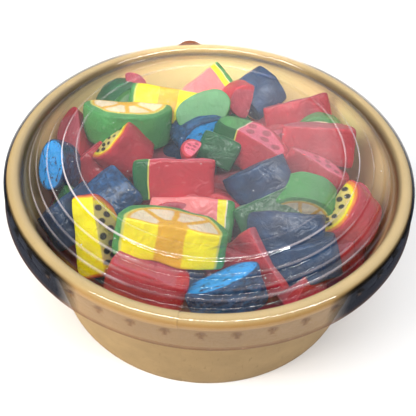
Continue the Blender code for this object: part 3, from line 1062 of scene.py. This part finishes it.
def candy_material(name, pictures):
    """One fruit's material; pictures gives its cut's colour and its skin's."""
    made, tree, shader = new_material(name)
    place = put(tree, "NewGeometry").outputs["Position"]
    section, on_cut, lot = stored(tree, "section", "Vector"), stored(tree, "on_cut"), stored(tree, "lot")
    facts = dict(group_place(tree, sliced, Section=section, Place=place).items())
    facts.update(Section=section, Lot=lot)
    wear = group_place(tree, handled, Place=place, Lot=lot, On_Cut=on_cut)
    cut, skin = pictures(tree, facts)
    shade = put(tree, "CombineColor", {axis: wear["Tone"] for axis in range(3)}).outputs[0]
    colour = mixed(tree, 1.0, mixed(tree, on_cut, skin, cut), shade, "MULTIPLY")
    colour = mixed(tree, product(tree, wear["Dust"], 0.05), colour, SUGAR)
    rough = calc(tree, "ADD", 0.27, product(tree, on_cut, 0.15))
    relief = put(tree, "Bump", {"Strength": 0.6, "Distance": 0.0010, "Height": wear["Height"]})
    fill(tree, shader, {
        "Base Color": colour,
        "Roughness": calc(tree, "ADD", rough, product(tree, wear["Dust"], 0.15)),
        "Normal": relief.outputs[0],
        "Subsurface Weight": 0.25,
        "Subsurface Radius": (1.0, 0.6, 0.5),
        "Subsurface Scale": 0.0025,
    })
    return made


fruits = (citrus, papaya, watermelon, slab, strawberry, berry, melon, apple, blueberry, bilberry, lime_oval)
painters = {fruit.__name__: fruit for fruit in fruits}
for kind, piece in heap.items():
    piece.data.materials.append(candy_material("candy_" + kind, painters[kind]))
core.data.materials.append(heap["apple"].data.materials[0])
print("candy materials:", [piece.data.materials[0].name for piece in heap.values()])

# %% [markdown]
# ## Drops on the lid
#
# A lid closed on fresh sweets carries a few tiny drops and crumbs near its rings.
# Each is the lower half of a flattened ball, a quarter to half a millimetre across,
# hung under the sheet by a seeded draw, and all of them are one mesh.

# %% Drops
DROPS, DROP_SIDES, DROP_RINGS, DROP_FLATNESS = 70, 8, 3, 0.7
drop_draw = random.Random(5)
drop_points, drop_faces = [], []
for _ in range(DROPS):
    azimuth = drop_draw.uniform(0, math.tau)
    r = drop_draw.choice((drop_draw.uniform(10, 48), drop_draw.uniform(50, 66)))
    size = drop_draw.uniform(0.12, 0.30)
    centre = Vector((r * math.cos(azimuth), r * math.sin(azimuth), ceiling(r) + 0.02))
    start = len(drop_points)
    for ring in range(DROP_RINGS + 1):
        lift = math.pi / 2 * ring / DROP_RINGS
        wide, low = math.cos(lift), -DROP_FLATNESS * math.sin(lift)
        for step in range(DROP_SIDES):
            bend = math.tau * step / DROP_SIDES
            out = Vector((math.cos(bend) * wide, math.sin(bend) * wide, low))
            drop_points.append((centre + out * size) * MM)
    for ring in range(DROP_RINGS):
        low = start + ring * DROP_SIDES
        drop_faces += band(low, low + DROP_SIDES, DROP_SIDES)
drops = placed("lid_drops", meshed("lid_drops", drop_points, drop_faces))
water, tree, shader = new_material("water_drop")
watery = {"Base Color": tone(245, 248, 250), "Roughness": 0.05, "Coat Weight": 1.0, "Alpha": 0.55}
fill(tree, shader, watery)
drops.data.materials.append(water)
print("drops:", DROPS, "faces:", len(drop_faces))

# %% [markdown]
# ## Body and stage
#
# Nothing here moves on anything else, so every piece rides on the one body. Each new
# piece stands for the imported solid whose place it takes, and that solid is hidden.

# %% Ride and replace
for piece, node, slot in [(bowl, "bowl", "kraft"), (lid, "lid", "clear_lid"), (core, "candy_heap", "candy")]:
    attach(piece, "root")
    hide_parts(node)
for piece in heap.values():
    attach(piece, "root")
    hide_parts("candy_heap")
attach(drops, "root")
print("pieces riding on root:", 4 + len(heap))

# %% [markdown]
# ## Floor and light
#
# The photo shows a bowl cut out on white, so the floor is a plain pale sheet. A large
# warm lamp at the left gives the shading, a long narrow one above draws the bright
# lines on the lid's rings, and a small one reaches the inside of the back wall. The
# world is dim, with a glow high at the back and the dark room at the front right.
# Two of the lamps don't show in mirrors, so they leave no bars of light on the lid.

# %% Floor and light
FLOOR_HALF, FLOOR_DROP = 3.0, 0.2 * MM
corners = [(x * FLOOR_HALF, y * FLOOR_HALF, 0) for x, y in ((-1, -1), (1, -1), (1, 1), (-1, 1))]
floor_mesh = bpy.data.meshes.new("floor")
floor_mesh.from_pydata(corners, [], [(0, 1, 2, 3)])
floor = placed("floor", floor_mesh)
floor.location.z = -FLOOR_DROP
pale, tree, shader = new_material("pale_floor")
fill(tree, shader, {"Base Color": tone(246, 246, 246), "Roughness": 0.9})
floor_mesh.materials.append(pale)

world = bpy.data.worlds.new("studio")
world.use_nodes = True
tree = world.node_tree


def towards(direction):
    """How well the way one looks agrees with a direction."""
    way = put(tree, "TexCoord").outputs["Generated"]
    return put(tree, "VectorMath", {0: way, 1: direction}, operation="DOT_PRODUCT").outputs["Value"]


glow = ranged(tree, towards((0.34, 0.70, 0.63)), 0.45, 1.0, interpolation_type="SMOOTHSTEP")
dimmed = ranged(tree, towards((0.78, -0.62, -0.05)), 0.1, 0.9, 0.30, 0.04)
brightness = calc(tree, "ADD", dimmed, product(tree, glow, 0.8))
fill(tree, tree.nodes["Background"], {"Color": (0.92, 0.95, 1.0, 1.0), "Strength": brightness})
bpy.context.scene.world = world


def lamp(name, at, size, power, colour=(1.0, 1.0, 1.0), target=(0.0, 0.0, 0.04)):
    """A soft rectangle of light that faces the bowl."""
    data = bpy.data.lights.new(name, "AREA")
    data.shape = "RECTANGLE"
    data.size, data.size_y = size
    data.energy = power
    data.color = colour
    made = placed(name, data)
    made.location = at
    back = (made.location - Vector(target)).normalized()
    level = Vector((0.0, 1.0, 0.0)).cross(back).normalized()
    made.rotation_euler = Matrix((level, back.cross(level), back)).transposed().to_euler()
    return made


WARM, WARMER, BACK_WALL = (1.0, 0.97, 0.90), (1.0, 0.96, 0.89), (0.004, 0.084, 0.055)
key = lamp("key_left", (-0.84, -0.20, 0.47), (0.9, 0.7), 10.0, WARMER)
lamp("top_strip", (0.06, -0.28, 0.70), (1.30, 0.03), 5.5)
inner = lamp("back_fill", (-0.03, -0.46, 0.60), (0.10, 0.04), 0.034, WARM, BACK_WALL)
inner.data.spread = math.radians(9)
for unmirrored in (key, inner):
    unmirrored.visible_glossy = False
bpy.context.scene.view_settings.view_transform = "Standard"
